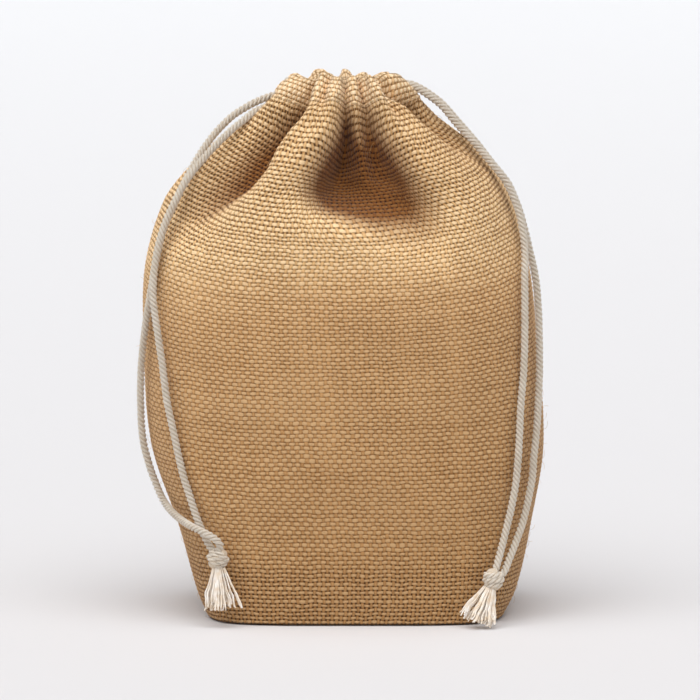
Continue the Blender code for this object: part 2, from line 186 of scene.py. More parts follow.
# Each cord's height and its distance behind the cloth, inside the hem.
RUNS = (("left", 0.2006, 0.0026), ("right", 0.2036, 0.0024))
STITCH_RADIUS = 0.00032
# The camera looks level with the belly from far off, a little from above.
VIEW_TARGET, VIEW_RISE, VIEW_WIDTH = (0.0026, 0.0, 0.0997), math.radians(7.0), 0.2695
LENS, SENSOR = 400.0, 36.0
# Each lamp's rise, turn and spread in degrees, and its power.
LAMPS = (("key", 70, -8, 74, 2.85), ("fill", 30, -50, 90, 0.42))
WHITE = (1.0, 1.0, 1.0, 1.0)


# ---------------------------------------------------------------- settings
def length(name, description, default, precision=4):
    """A length that a user can change."""
    return FloatProperty(name=name, description=description, default=default, unit="LENGTH",
                         precision=precision)


def tone(name, description, default):
    """A colour that a user can change."""
    return FloatVectorProperty(name=name, description=description, default=default,
                               subtype="COLOR", size=3)


class PouchSizes(bpy.types.PropertyGroup):
    """Sizes of the cloth, cords and threads."""
    warp_yarns: IntProperty(name="Warp yarns", description="Upright yarns in each panel",
                            default=120, min=20)
    weft_pitch: length("Weft pitch", "Distance between crosswise yarns", 0.00171, 5)
    cloth: length("Cloth", "Thickness of the jute cloth", 0.0010)
    relief: length("Relief", "How far yarns stand out at a crossing", 0.00021, 5)
    cord: length("Cord", "Diameter of a drawcord", 0.0030)
    cord_turn: length("Cord turn", "Length in which the cord's strands turn once", 0.0055)
    tassel_threads: IntProperty(name="Tassel threads", description="Threads in each tassel",
        default=72, min=8)
    tassel_thread: length("Tassel thread", "Radius of a tassel thread", 0.00029, 5)
    stitch: length("Stitch", "Length of one stitch under the hem", 0.0026)
    stitch_gap: length("Stitch pitch", "Distance from stitch to stitch", 0.0036)
    fibres: IntProperty(name="Loose fibres", description="Loose fibres on each panel", default=900,
                        min=0)


class PouchColours(bpy.types.PropertyGroup):
    """Colours of the yarns and the stage."""
    yarn: tone("Yarn", "Sunlit side of a jute yarn", (0.715, 0.452, 0.222))
    yarn_shade: tone("Yarn shade", "Darker jute yarn", (0.375, 0.196, 0.070))
    # Painted shade: the dark seen through the gaps between yarns.
    gap: tone("Gap", "Inside the gaps between yarns", (0.095, 0.040, 0.012))
    cotton: tone("Cotton", "Undyed cotton cord", (0.90, 0.83, 0.73))
    cotton_shade: tone("Cotton shade", "Furrows of the cotton cord", (0.63, 0.515, 0.385))
    thread: tone("Thread", "Sewing thread", (0.78, 0.56, 0.32))
    floor: tone("Floor", "Pale floor and backdrop", (0.750, 0.737, 0.747))
    floor_far: tone("Far floor", "Backdrop away from the pouch", (0.818, 0.823, 0.841))


def sizes():
    """The pouch's sizes."""
    return bpy.context.scene.pouch_sizes


def colours():
    """The pouch's colours."""
    return bpy.context.scene.pouch_colours


# ---------------------------------------------------------------- node helper
class Net:
    """Adds nodes to a tree and joins them, so that a finish reads like a formula."""

    def __init__(self, tree):
        self.tree = tree

    def put(self, socket, value):
        if isinstance(value, bpy.types.NodeSocket):
            self.tree.links.new(value, socket)
        elif value is not None:
            socket.default_value = value

    def fill(self, node, inputs):
        for key, value in inputs.items():
            self.put(node.inputs[key], value)

    def node(self, kind, inputs=None, **settings):
        made = self.tree.nodes.new(kind)
        for name, value in settings.items():
            setattr(made, name, value)
        self.fill(made, inputs or {})
        return made

    def sum(self, operation, *values):
        return self.node("ShaderNodeMath", dict(enumerate(values)), operation=operation).outputs[0]

    add = partialmethod(sum, "ADD")
    less = partialmethod(sum, "SUBTRACT")
    times = partialmethod(sum, "MULTIPLY")
    over = partialmethod(sum, "DIVIDE")
    fit = partialmethod(sum, "MULTIPLY_ADD")
    most = partialmethod(sum, "MAXIMUM")

    def blend(self, share, first, second, mode="MIX"):
        sockets = {0: share, 6: first, 7: second}
        return self.node("ShaderNodeMix", sockets, data_type="RGBA", blend_type=mode).outputs[2]

    def tinted(self, first, second):
        return self.blend(1.0, first, second, "MULTIPLY")

    def pick(self, share, first, second):
        sockets = {0: share, 2: first, 3: second}
        return self.node("ShaderNodeMix", sockets, data_type="FLOAT").outputs[0]

    def ramp(self, value, low, high, out_low=0.0, out_high=1.0):
        sockets = dict(enumerate((value, low, high, out_low, out_high)))
        return self.node("ShaderNodeMapRange", sockets, clamp=True).outputs[0]

    def noise(self, vector, scale, detail=2.0):
        sockets = {"Vector": vector, "Scale": scale, "Detail": detail}
        return self.node("ShaderNodeTexNoise", sockets, noise_dimensions="3D").outputs[0]

    def join(self, x, y, z=0.0):
        return self.node("ShaderNodeCombineXYZ", {0: x, 1: y, 2: z}).outputs[0]

    def split(self, vector):
        return self.node("ShaderNodeSeparateXYZ", {0: vector}).outputs

    def place(self):
        return self.node("ShaderNodeTexCoord").outputs["Object"]

    def laid(self, uv_map):
        return self.split(self.node("ShaderNodeUVMap", uv_map=uv_map).outputs[0])

    def stored(self, name):
        return self.node("ShaderNodeAttribute", attribute_name=name).outputs["Fac"]

    def bump(self, height, strength, distance):
        sockets = {"Height": height, "Strength": strength, "Distance": distance}
        return self.node("ShaderNodeBump", sockets).outputs[0]

    def random(self, low, high, seed):
        if isinstance(low, tuple):
            sockets = {0: low, 1: high, "Seed": seed}
            return self.node("FunctionNodeRandomValue", sockets,
                             data_type="FLOAT_VECTOR").outputs[0]
        sockets = {2: low, 3: high, "Seed": seed}
        return self.node("FunctionNodeRandomValue", sockets, data_type="FLOAT").outputs[1]


def new_finish(name):
    """A new material's helper and its surface shader."""
    finish = bpy.data.materials.new(name)
    finish.use_nodes = True
    return Net(finish.node_tree), finish.node_tree.nodes["Principled BSDF"]


def rgba(colour, gain=1.0):
    """A colour with full alpha."""
    gains = gain if isinstance(gain, tuple) else (gain,) * 3
    return (*[min(1.0, c * g) for c, g in zip(colour, gains)], 1.0)


# ---------------------------------------------------------------- finishes
def weave_finish(name, gain=1.0, least_open=0.0):
    """Plain-weave jute: round yarns over and under, slubs, and dark gaps."""
    net, shader = new_finish(name)
    tint = colours()
    parts = net.laid("yarns")
    place = net.place()
    wander = net.noise(net.join(net.times(parts[0], 0.35), net.times(parts[1], 0.35)), 1.0, 2.0)
    wander_two = net.noise(net.join(net.add(net.times(parts[1], 0.4), 31.0),
        net.times(parts[0], 0.4)), 1.0, 2.0)
    u = net.add(parts[0], net.fit(wander, 0.5, -0.25))
    v = net.add(parts[1], net.fit(wander_two, 0.5, -0.25))
    opened = net.most(net.stored("open"), least_open)

    # Each yarn's own tone, slubs and round top.
    faces = {}
    for key, across, along in (("warp", u, v), ("weft", v, u)):
        number = net.sum("FLOOR", across)
        offset = net.sum("ABSOLUTE", net.less(net.less(across, number), 0.5))
        shift = 3.7 if key == "warp" else 91.3
        chance = net.node("ShaderNodeTexWhiteNoise", {"W": net.add(number, shift)},
                          noise_dimensions="1D")
        slub = net.noise(net.join(net.fit(number, 5.17, shift), net.times(along, 0.22)), 1.0, 2.0)
        body = net.fit(net.less(slub, 0.5), 0.24, net.fit(chance.outputs["Value"], 0.07, 0.40))
        width = net.less(body, net.times(opened, 0.115))
        share = net.over(offset, width)
        dome = net.sum("SQRT", net.most(net.less(1.0, net.times(share, share)), 0.0))
        inside = net.sum("LESS_THAN", share, 1.0)
        faces[key] = (chance.outputs["Value"], slub, dome, inside)
    # Which yarn passes over the other.
    wave_u = net.sum("SINE", net.times(u, math.pi))
    wave_v = net.sum("SINE", net.times(v, math.pi))
    lift_warp = net.times(wave_v, net.sum("SIGN", wave_u))
    lift_weft = net.times(net.times(wave_u, net.sum("SIGN", wave_v)), -1.0)
    heights = []
    for key, lift in (("warp", lift_warp), ("weft", lift_weft)):
        dome, inside = faces[key][2], faces[key][3]
        raw = net.add(net.fit(lift, 0.35, 0.33 if key == "warp" else 0.43), net.times(dome, 0.6))
        heights.append(net.times(raw, inside))
    top = net.most(heights[0], heights[1])
    warp_on_top = net.sum("GREATER_THAN", heights[0], heights[1])

    hairs_warp = net.noise(net.join(net.times(u, 7.0), net.times(v, 1.1)), 1.0, 3.0)
    hairs_weft = net.noise(net.join(net.times(v, 7.0), net.fit(u, 1.1, 57.0)), 1.0, 3.0)
    hairs = net.pick(warp_on_top, hairs_weft, hairs_warp)
    tone = net.pick(warp_on_top, faces["weft"][0], faces["warp"][0])
    slub = net.pick(warp_on_top, faces["weft"][1], faces["warp"][1])
    patches = net.noise(place, 22.0, 3.0)

    # From shaded to sunlit yarn.
    light = net.add(net.fit(net.ramp(top, 0.60, 1.25), 0.92, 0.04),
                    net.times(net.ramp(hairs, 0.32, 0.68), 0.36))
    light = net.add(light, net.fit(tone, 0.22, -0.11))
    light = net.add(light, net.fit(slub, 0.4, -0.2))
    light = net.less(light, net.fit(warp_on_top, 0.34, -0.02))
    light = net.add(light, net.fit(patches, 0.5, -0.25))
    light = net.add(light, net.fit(net.noise(place, 1500.0, 2.0), 1.3, -0.65))
    colour = net.blend(net.ramp(light, 0.0, 1.0), rgba(tint.yarn_shade, gain),
                       rgba(tint.yarn, gain))
    colour = net.tinted(colour,
                        net.blend(warp_on_top, (1.03, 1.05, 1.09, 1.0), (0.93, 0.83, 0.70, 1.0)))
    # Painted shade in the gaps between yarns and in the creases, and painted light towards the
    # neck.
    # Painted shade in the gaps between yarns, darker where the weave is more open.
    gap_share = net.ramp(top, 0.10, 0.34, 1.0, 0.0)
    gap_shade = net.blend(opened, rgba(tint.yarn_shade, 0.72), rgba(tint.gap))
    colour = net.blend(gap_share, colour, gap_shade)
    specks = net.noise(place, 900.0, 1.0)
    colour = net.blend(net.ramp(specks, 0.74, 0.80, 0.0, 0.55), colour, rgba(tint.gap, 1.6))
    # Painted shade in the creases of the folds.
    colour = net.blend(net.stored("crease_shade"), colour, net.tinted(colour, (0.28, 0.160, 0.068, 1.0)))
    # Painted light and shade by height: darker near the floor, lighter and paler towards the neck.
    painted_light = net.stored("painted_light")
    painted_shading_tint = net.blend(painted_light, (0.78, 0.74, 0.68, 1.0), (1.33, 1.38, 1.46, 1.0))
    painted_highlight = net.blend(net.ramp(painted_light, 0.45, 0.9), WHITE, (1.07, 1.16, 1.25, 1.0))
    net.fill(shader, {"Base Color": net.tinted(net.tinted(colour, painted_shading_tint), painted_highlight),
                      "Normal": net.bump(net.fit(hairs, 0.6, top), 0.75, 0.0007),
                      "Roughness": 0.88, "Specular IOR Level": 0.25,
                      "Sheen Weight": 0.12, "Sheen Roughness": 0.5})


def twisted_finish(name, colour, shade):
    """Spun cotton: fine yarns laid along each strand, darker in the furrows."""
    net, shader = new_finish(name)
    around, along = net.laid("lay")[:2]
    place = net.place()
    yarn = net.sum("SINE",
                   net.times(net.add(net.times(around, 6.0), net.times(along, 1.1)), 2 * math.pi))
    fuzz = net.noise(place, 1900.0, 3.0)
    amount = net.add(net.fit(yarn, 0.16, 0.30), net.times(fuzz, 0.55))
    amount = net.add(amount, net.fit(net.noise(place, 160.0, 2.0), 0.5, -0.25))
    # Painted shade in the furrows between the strands.
    amount = net.less(amount, net.times(net.stored("furrow_shade"), 0.62))
    net.fill(shader,
             {"Base Color": net.blend(net.ramp(amount, 0.0, 0.75), rgba(shade), rgba(colour)),
                      "Normal": net.bump(net.add(net.times(yarn, 0.5), fuzz), 0.7, 0.00018),
                      "Roughness": 0.85, "Specular IOR Level": 0.3, "Sheen Weight": 0.2})


def thread_finish(name, colour, shade, scale):
    """A thin thread or fibre with a little tone along it."""
    net, shader = new_finish(name)
    place = net.place()
    tone = net.ramp(net.noise(place, scale, 3.0), 0.3, 0.7)
    net.fill(shader, {"Base Color": net.blend(tone, rgba(shade), rgba(colour)),
                      "Normal": net.bump(net.noise(place, 3000.0, 1.0), 0.5, 0.0001),
                      "Roughness": 0.8, "Specular IOR Level": 0.3})


def seam_finish(name):
    """Raw turned-in jute edges, seen only inside the pouch."""
    net, shader = new_finish(name)
    place = net.place()
    stripes = net.node("ShaderNodeTexWave", {"Vector": place, "Scale": 190.0, "Distortion": 2.5},
                       bands_direction="Z").outputs["Fac"]
    share = net.add(net.times(stripes, 0.6), net.times(net.noise(place, 700.0, 3.0), 0.5))
    tint = colours()
    net.fill(shader, {"Base Color": net.blend(share, rgba(tint.gap, 1.5), rgba(tint.yarn_shade)),
                      "Normal": net.bump(share, 0.8, 0.0005), "Roughness": 0.95})


# ---------------------------------------------------------------- mesh helpers
def new_piece(name, points, faces, finish, layers=None, uv_name="", uv=None):
    """A finished object at the origin from points and faces; uv is one pair for each point."""
    data = bpy.data.meshes.new(name)
    data.from_pydata([tuple(p) for p in np.asarray(points, float)], [],
                     [tuple(int(i) for i in f) for f in faces])
    data.validate()
    data.shade_smooth()
    if uv is not None:
        layer = data.uv_layers.new(name=uv_name)
        corner = np.empty(len(data.loops), dtype=np.int64)
        data.loops.foreach_get("vertex_index", corner)
        layer.data.foreach_set("uv", np.asarray(uv, np.float32)[corner].ravel())
    for key, values in (layers or {}).items():
        attribute = data.attributes.new(key, "FLOAT", "POINT")
        attribute.data.foreach_set("value", np.asarray(values, np.float32).ravel())
    data.materials.append(bpy.data.materials[finish])
    piece = bpy.data.objects.new(name, data)
    bpy.context.scene.collection.objects.link(piece)
    return piece


def smooth_route(points, spacing):
    """Evenly spread points on a smooth curve through a route's own points."""
    knots = np.asarray(points, float)
    knots = np.vstack((2 * knots[0] - knots[1], knots, 2 * knots[-1] - knots[-2]))
    dense = []
    for i in range(1, len(knots) - 2):
        a, b, c, d = knots[i - 1:i + 3]
        t = (np.arange(16) / 16)[:, None]
        dense.append(0.5 * (2 * b + (c - a) * t + (2 * a - 5 * b + 4 * c - d) * t**2
                            + (3 * b - a - 3 * c + d) * t**3))
    dense = np.vstack(dense + [knots[-2:-1]])
    lengths = np.concatenate(([0.0], np.cumsum(np.linalg.norm(np.diff(dense, axis=0), axis=1))))
    count = max(8, int(round(lengths[-1] / spacing)) + 1)
    want = np.linspace(0, lengths[-1], count)
    return np.column_stack([np.interp(want, lengths, dense[:, k]) for k in range(3)])


def carried_frames(path):
    """Tangents and two side directions carried along a path without twisting."""
    tangents = np.gradient(path, axis=0)
    tangents /= np.linalg.norm(tangents, axis=1)[:, None]
    side = np.cross(tangents[0], (0.0, 1.0, 0.0))
    if np.linalg.norm(side) < 0.1:
        side = np.cross(tangents[0], (1.0, 0.0, 0.0))
    sides = []
    for tangent in tangents:
        side = side - tangent * np.dot(side, tangent)
        side = side / np.linalg.norm(side)
        sides.append(side)
    sides = np.array(sides)
    return tangents, sides, np.cross(tangents, sides)


def rope_mesh(path, diameter, turn, phase=0.0, strands=3, around=8):
    """Twisted strands along a path: points, faces, lay coordinates and painted shade in the
    furrows.
    """
    steps = np.concatenate(([0.0], np.cumsum(np.linalg.norm(np.diff(path, axis=0), axis=1))))
    tangents, sides, uprights = carried_frames(path)
    strand_radius = 0.245 * diameter
    circle_radius = 0.262 * diameter
    points, faces, lay, furrow_shade = [], [], [], []
    for k in range(strands):
        twist = 2 * math.pi * (k / strands - steps / turn) + phase
        outward = np.cos(twist)[:, None] * sides + np.sin(twist)[:, None] * uprights
        across = np.cross(tangents, outward)
        centre = path + outward * circle_radius
        base = len(points)
        for s in range(len(path)):
            for a in range(around):
                angle = 2 * math.pi * a / around
                points.append(centre[s] + outward[s] * math.cos(angle) * strand_radius
                              + across[s] * math.sin(angle) * strand_radius * 1.04)
                lay.append((a / around, steps[s] / 0.001))
                furrow_shade.append(0.5 - 0.5 * math.cos(angle))
        for s in range(len(path) - 1):
            for a in range(around):
                b = (a + 1) % around
                low, high = base + s * around, base + (s + 1) * around
                faces.append((low + a, low + b, high + b, high + a))
        last = base + (len(path) - 1) * around
        faces += [tuple(range(base, base + around))[::-1], tuple(range(last, last + around))]
    return points, faces, lay, furrow_shade


def above_floor(piece, least):
    """Lift any point of a piece that would reach under the floor."""
    places = np.empty(len(piece.data.vertices) * 3, dtype=np.float32)
    piece.data.vertices.foreach_get("co", places)
    places[2::3] = np.maximum(places[2::3], least)
    piece.data.vertices.foreach_set("co", places)


# ---------------------------------------------------------------- pouch form
def section_at(height):
    """Half width, half depth, squareness and lean at heights, on smooth curves."""
    levels = SECTIONS[:, 0]
    height = np.clip(height, levels[0], levels[-1])
    low = np.clip(np.searchsorted(levels, height, side="right") - 1, 0, len(levels) - 2)
    before, high = np.maximum(low - 1, 0), low + 1
    after = np.minimum(low + 2, len(levels) - 1)
    span = levels[high] - levels[low]
    t = (height - levels[low]) / span
    found = []
    for k in range(1, 5):
        values = SECTIONS[:, k]
        slope_low = (values[high] - values[before]) / (levels[high] - levels[before])
        slope_high = (values[after] - values[low]) / (levels[after] - levels[low])
        found.append((2 * t**3 - 3 * t**2 + 1) * values[low]
                     + (t**3 - 2 * t**2 + t) * span * slope_low
                     + (3 * t**2 - 2 * t**3) * values[high] + (t**3 - t**2) * span * slope_high)
    return found


def fold_depth(side, height, angle):
    """How far the cloth is drawn in at a height and an angle in degrees."""
    total = np.zeros(np.broadcast(height, angle).shape)

    def fold_at(fold):
        rows = np.array(fold)
        centre, depth, left, right = (np.interp(height, rows[:, 0], rows[:, k])
                                      for k in range(1, 5))
        offset = angle - centre
        return depth, np.abs(offset) / np.where(offset < 0, left, right)

    for fold in FRONT_FOLDS if side < 0 else BACK_FOLDS:
        depth, share = fold_at(fold)
        total = total + depth * (np.exp(-share ** 1.7) - LIP * np.exp(-((share - 2.0) / 0.75) ** 2))
    if side < 0:
        depth, share = fold_at(FRONT_HOLLOW)
        total = total + depth * np.exp(-share ** 3.2)
    rows = np.array(SIDE_FOLD)
    depth, reach = (np.interp(height, rows[:, 0], rows[:, k]) for k in (2, 3))
    for edge in (-90.0, 90.0):
        total = total + depth * np.exp(-np.abs((angle - edge) / reach) ** 1.6)
    return total * 0.001


def slack(side, height, angle):
    """Soft dents of cloth that is filled but not stretched, in metres inwards."""
    turn = np.radians(angle)
    seed = 0.0 if side < 0 else 2.1
    waves = (np.sin(height * 61 + 1.7 * turn + seed) * np.sin(2.6 * turn + height * 23 + 0.4 + seed)
             + 0.55 * np.sin(height * 117 - 3.3 * turn + 1.1 + seed)
             * np.cos(4.1 * turn - height * 31 + seed)
             + 0.35 * np.sin(height * 190 + 6.2 * turn + seed) * np.sin(7.3 * turn + 0.8))
    fade = (np.clip(height / 0.03, 0, 1) * np.clip((0.195 - height) / 0.03, 0, 1)
            * np.cos(turn) ** 0.6)
    return 0.0008 * (1 + np.clip(waves, -1, 1)) * fade


def wall(side, height, angle, folds=1.0, inset=0.0):
    """Points on the outside of the gathered pouch. Side is -1 for the front, 1 for the back."""
    height, angle = np.broadcast_arrays(np.asarray(height, float), np.asarray(angle, float))
    half_width, half_depth, squareness, lean = section_at(height)
    half_width, half_depth = half_width - inset, half_depth - inset
    turn = np.radians(angle)
    sine, cosine = np.sin(turn), np.maximum(np.cos(turn), 0.0)
    power = 2.0 / squareness
    x = half_width * np.sign(sine) * np.abs(sine) ** power
    y = half_depth * cosine ** power
    normal_x = np.sign(x) * np.abs(x / half_width) ** (squareness - 1) / half_width
    normal_y = np.abs(y / half_depth) ** (squareness - 1) / half_depth
    size = np.hypot(normal_x, normal_y)
    folded = fold_depth(side, height, angle)
    drawn = (folded + slack(side, height, angle)) * folds
    sink = 0.5 * folded * np.clip((height - 0.150) / 0.035, 0, 1) * folds
    x = x - normal_x / size * drawn
    y = y - normal_y / size * drawn
    y = np.maximum(y, 0.0)
    return np.stack((lean + x, side * (y + PARTING), height - sink), axis=-1)


def wall_levels(pitch):
    """Heights of the rows from the base fold to the stitches, evenly spaced along the cloth."""
    height = np.linspace(0.0006, STITCH_HEIGHT, 400)
    half_width, half_depth, _, _ = section_at(height)
    reach = (half_width + half_depth) / 2
    along = np.concatenate(([0.0], np.cumsum(np.hypot(np.diff(height), np.diff(reach)))))
    count = 2 * int(round(along[-1] / pitch)) + 1
    return np.interp(np.linspace(0, along[-1], count), along, height)


def droop(level, angle):
    """How far the crosswise yarns hang down in the middle of a panel."""
    sag = np.interp(level, (0.0, 0.030, 0.070, 0.100, 0.135, 0.160, 0.182, STITCH_HEIGHT),
                    (0.0, 0.0006, 0.0026, 0.0052, 0.0095, 0.0120, 0.0080, 0.0))
    return sag * np.maximum(np.cos(np.radians(angle)), 0.0) ** 1.5


def even_angles(side, levels, columns):
    """Angles that spread the upright yarns evenly along each level's folded line."""
    share = np.linspace(-1, 1, 1601)
    near, far = np.abs(share) ** 2.6, (1 - np.abs(share)) ** 2.6
    fine = 90 * np.sign(share) * near / (near + far)
    spread = np.empty((len(levels), columns))
    for r, level in enumerate(levels):
        line = wall(side, level, fine)
        along = np.concatenate(([0.0], np.cumsum(np.linalg.norm(np.diff(line, axis=0), axis=1))))
        spread[r] = np.interp(np.linspace(0, along[-1], columns), along, fine)
    return spread


def grid_normals(grid, side):
    """Outward directions over a grid of points."""
    down, across = np.gradient(grid, axis=0), np.gradient(grid, axis=1)
    normals = np.cross(across, down)
    normals /= np.maximum(np.linalg.norm(normals, axis=2), 1e-12)[..., None]
    return normals if side < 0 else -normals


def shell_faces(rows, columns, start, flip):
    """Quads over a grid whose first point has the index start."""
    index = start + np.arange(rows * columns).reshape(rows, columns)
    quads = np.stack((index[:-1, :-1], index[:-1, 1:], index[1:, 1:], index[1:, :-1]),
                     axis=-1).reshape(-1, 4)
    return quads[:, ::-1] if flip else quads


def rim_faces(outer, inner, flip):
    """Closes the edge between a fine outer line of points and a line half as fine."""
    faces = []
    for k in range(len(inner) - 1):
        a, b, c = outer[2 * k], outer[2 * k + 1], outer[2 * k + 2]
        low, high = inner[k], inner[k + 1]
        faces += [(a, low, b), (b, low, high), (b, high, c)]
    return [f[::-1] for f in faces] if flip else faces


def smooth_random(shape, step, seed):
    """A smooth random field from -1 to 1 over a grid."""
    source = np.random.default_rng(seed)
    rows, columns = shape[0] // step + 3, shape[1] // step + 3
    coarse = source.uniform(-1, 1, (rows, columns))
    r, c = np.arange(shape[0]) / step, np.arange(shape[1]) / step
    r0, c0 = r.astype(int), c.astype(int)
    tr, tc = (r - r0)[:, None], (c - c0)[None, :]
    tr, tc = tr * tr * (3 - 2 * tr), tc * tc * (3 - 2 * tc)
    take = lambda i, j: coarse[np.ix_(r0 + i, c0 + j)]
    return ((take(0, 0) * (1 - tr) + take(1, 0) * tr) * (1 - tc)
            + (take(0, 1) * (1 - tr) + take(1, 1) * tr) * tc)


def to_own_side(points, side):
    """Keep points on their panel's side of the middle plane."""
    limit = np.minimum if side < 0 else np.maximum
    points[..., 1] = limit(points[..., 1], side * OWN_SIDE)


def crossings(rows, columns):
    """Where yarns rise and sink: 1 on top of a crossing, -1 under it."""
    r, c = np.arange(rows)[:, None], np.arange(columns)[None, :]
    return -0.5 * (np.cos(math.pi * r) + np.cos(math.pi * c))


def yarn_places(rows, columns, first=0):
    """The yarns' own coordinates over a grid with two points to each yarn."""
    u, v = np.meshgrid(np.arange(columns) / 2 + first / 2, np.arange(rows) / 2)
    return np.stack((u, v), axis=-1)


def both_walls(values):
    """Values of the fine outer wall, then those of the inner wall, which is half as fine."""
    return np.concatenate((values.reshape(-1, *values.shape[2:]),
                           values[::2, ::2].reshape(-1, *values.shape[2:])))


def cloth_grid(side):
    """The panel's outer points, its base rows, and the level and angle of each point above."""
    pitch = sizes().weft_pitch
    columns = 2 * sizes().warp_yarns + 1
    levels = wall_levels(pitch)
    angles = even_angles(side, levels, columns)
    levels = levels[:, None] - droop(levels[:, None], angles)
    rise = wall(side, levels, angles)
    foot = rise[0]
    base_rows = int(round(BASE_DEPTH / pitch))
    base_rows += base_rows % 2
    base = []
    for r in range(base_rows):
        share = r / base_rows
        row = foot.copy()
        row[:, 1] = side * PARTING + (foot[:, 1] - side * PARTING) * share
        row[:, 2] = 0.0002 + 0.0004 * share ** 6
        base.append(row)
    return np.concatenate((np.array(base), rise)), base_rows, levels, angles


def make_cloth(side):
    """One jute panel as a thin closed shell with its yarns in relief."""
    name = "front_cloth" if side < 0 else "back_cloth"
    grid, base_rows, levels, angles = cloth_grid(side)
    rows, columns = grid.shape[:2]
    normals = grid_normals(grid, side)
    down, across = np.gradient(grid, axis=0), np.gradient(grid, axis=1)
    wobble = smooth_random((rows, columns), 5, 11 if side < 0 else 12)
    sway = smooth_random((rows, columns), 5, 21 if side < 0 else 22)
    edge = np.zeros((rows, columns))
    edge[1:-1, 1:-1] = 1.0
    weave = crossings(rows, columns)
    outer = grid + across * (wobble * edge * 0.35)[..., None]
    outer = outer + down * (sway * edge * 0.35)[..., None]
    outer = outer + normals * (weave * sizes().relief * edge)[..., None]
    outer[..., 2] = np.maximum(outer[..., 2], 0.0)
    to_own_side(outer, side)
    inner = (grid - normals * sizes().cloth)[::2, ::2]
    to_own_side(inner, side)
    inner[..., 2] = np.maximum(inner[..., 2], 0.0002 + sizes().cloth * 0.8)
    in_rows, in_columns = inner.shape[:2]
    points = np.concatenate((outer.reshape(-1, 3), inner.reshape(-1, 3)))
    start = rows * columns
    outward = side < 0
    faces = [tuple(f) for f in shell_faces(rows, columns, 0, not outward)]
    faces += [tuple(f) for f in shell_faces(in_rows, in_columns, start, outward)]
    o = np.arange(rows * columns).reshape(rows, columns)
    i = start + np.arange(in_rows * in_columns).reshape(in_rows, in_columns)
    for fine, coarse, turn in ((o[0], i[0], True), (o[-1], i[-1], False),
            (o[:, 0], i[:, 0], False), (o[:, -1], i[:, -1], True)):
        faces += rim_faces(list(fine), list(coarse), turn if outward else not turn)
    uv = both_walls(yarn_places(rows, columns))
    height = grid[..., 2]
    opened = np.clip((0.030 - height) / 0.022, 0, 1) * 0.9
    neck = np.clip((height - 0.128) / 0.045, 0, 1) * 0.85
    patch = 0.5 + 0.5 * smooth_random((rows, columns), 34, 31 if side < 0 else 32)
    level_grid = np.concatenate((np.zeros((base_rows, columns)), levels))
    angle_grid = np.concatenate((np.tile(angles[0], (base_rows, 1)), angles))
    rising = np.clip((height - 0.135) / 0.02, 0, 1)
    shoulder = np.exp(-((angle_grid + 64) / 26) ** 2) * rising * (side < 0)
    opened = np.clip(np.maximum(opened, neck) + 0.22 + 0.34 * patch, 0, 1) + 0.45 * shoulder
    # Painted shade where the folds are deep, and all over the inner face of the cloth.
    crease_shade = np.clip((fold_depth(side, level_grid, angle_grid) - 0.002) / 0.0095, 0, 1)
    crease_shade = np.concatenate((crease_shade.ravel(), np.ones(in_rows * in_columns)))
    # Painted light: lighter towards the neck, on the left and on the left shoulder.
    painted_light = np.interp(height, PAINTED_LIGHT_BY_HEIGHT[:, 0], PAINTED_LIGHT_BY_HEIGHT[:, 1])
    painted_light = painted_light - 0.08 * grid[..., 0] / 0.07 + 0.25 * shoulder
    layers = {"open": both_walls(opened), "crease_shade": crease_shade, "painted_light": both_walls(painted_light)}
    return new_piece(name, points, faces, "jute weave", layers, "yarns", uv)


# ---------------------------------------------------------------- hem
def hem_top(side, angle):
    """Height of the hem's top edge at an angle."""
    rise = np.full(np.shape(angle), HEM_TOP)
    for centre, reach, lift in (FRONT_TOP if side < 0 else BACK_TOP):
        rise = rise + lift * 0.001 * np.exp(-((angle - centre) / reach) ** 2)
    return rise


def behind_folds(side, level, angles, gap):
    """A line behind the deepest cloth nearby, so that it stays inside every fold."""
    around = np.linspace(-9, 9, 25)
    level = np.broadcast_to(np.asarray(level, float), angles.shape)
    deepest = fold_depth(side, level[:, None], angles[:, None] + around[None, :]).max(axis=1)
    width = max(1, int(round(len(angles) / 13))) // 2
    deepest = np.convolve(np.pad(deepest, width, mode="edge"),
                          np.full(2 * width + 1, 1 / (2 * width + 1)), mode="valid")
    deepest = deepest * np.clip((84 - np.abs(angles)) / 20, 0, 1)
    line = wall(side, level, angles, folds=0.0, inset=np.minimum(gap + deepest, 0.0165))
    line[..., 2] -= 0.5 * deepest
    return line


